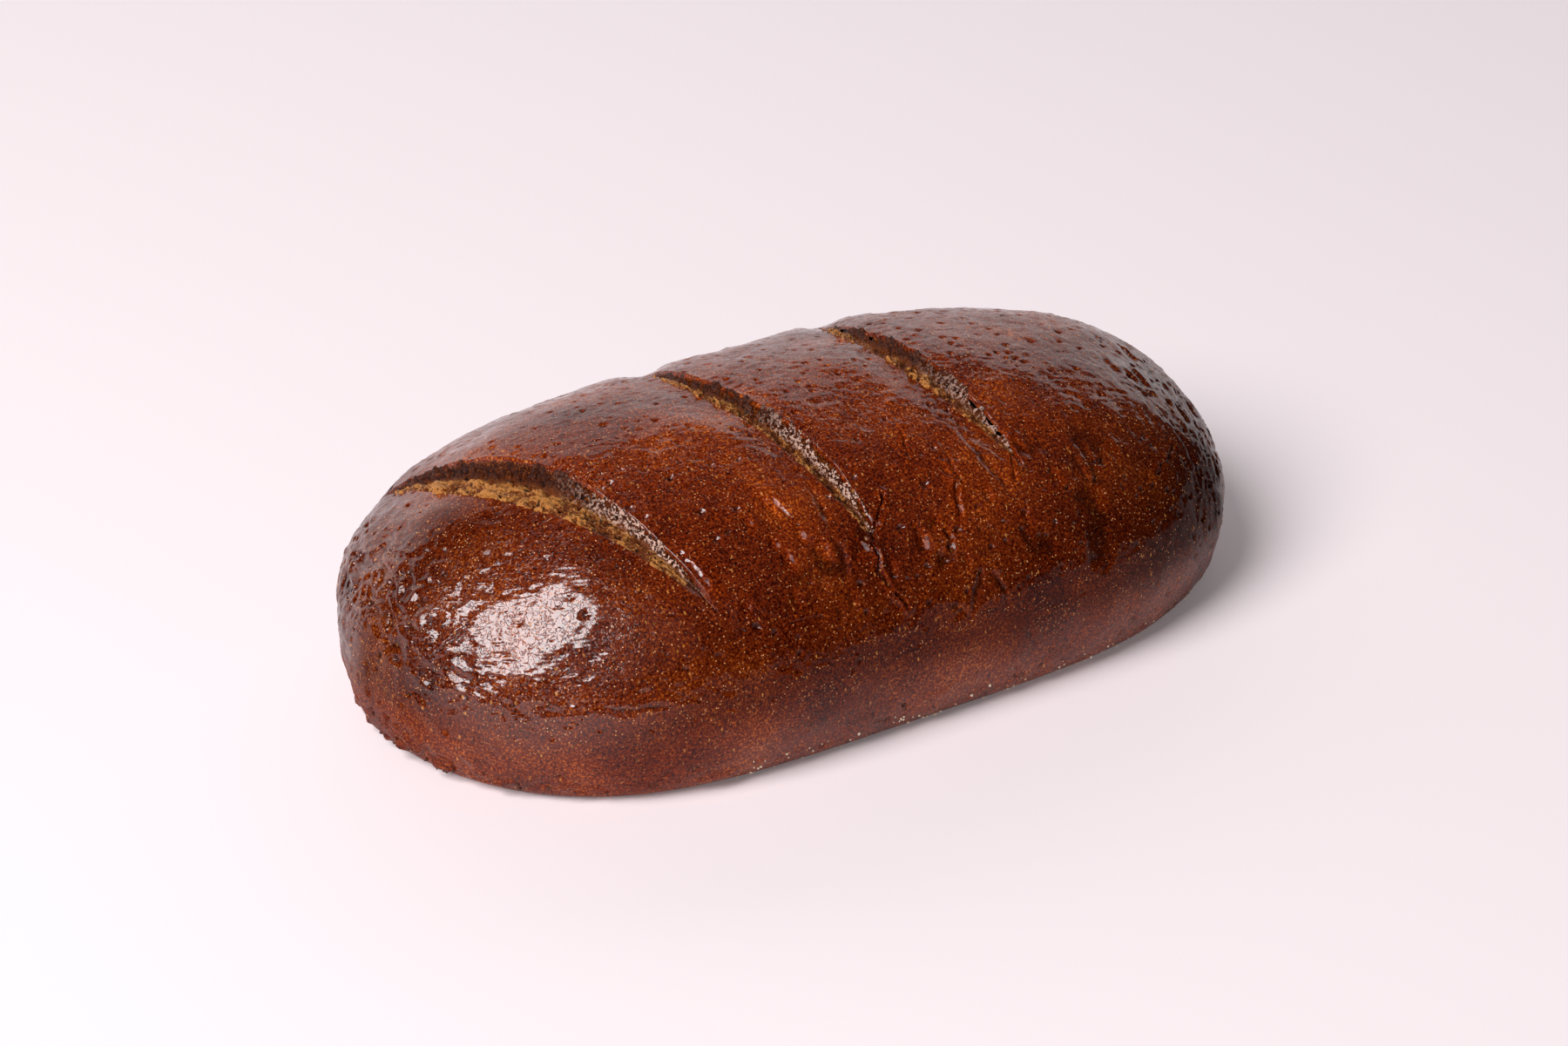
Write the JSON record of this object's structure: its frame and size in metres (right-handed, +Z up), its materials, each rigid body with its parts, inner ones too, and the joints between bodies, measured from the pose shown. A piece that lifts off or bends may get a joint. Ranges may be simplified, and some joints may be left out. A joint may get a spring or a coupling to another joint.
{
  "type": "rye_bread_loaf",
  "caption": "Free-form dark rye loaf with a glossy crust: a long rounded oval on a flat base, with slanted cuts open across its crown",
  "frame": {"origin": "middle of the flat base, on the surface the loaf rests on", "axes": "+X along the loaf away from the widest cut, +Z up, +Y across the loaf"},
  "size_m": [0.262, 0.148, 0.0747],
  "materials": {
    "crust": "glossy"
  },
  "bodies": {
    "root": {"loaf": "crust"}
  },
  "joints": []
}
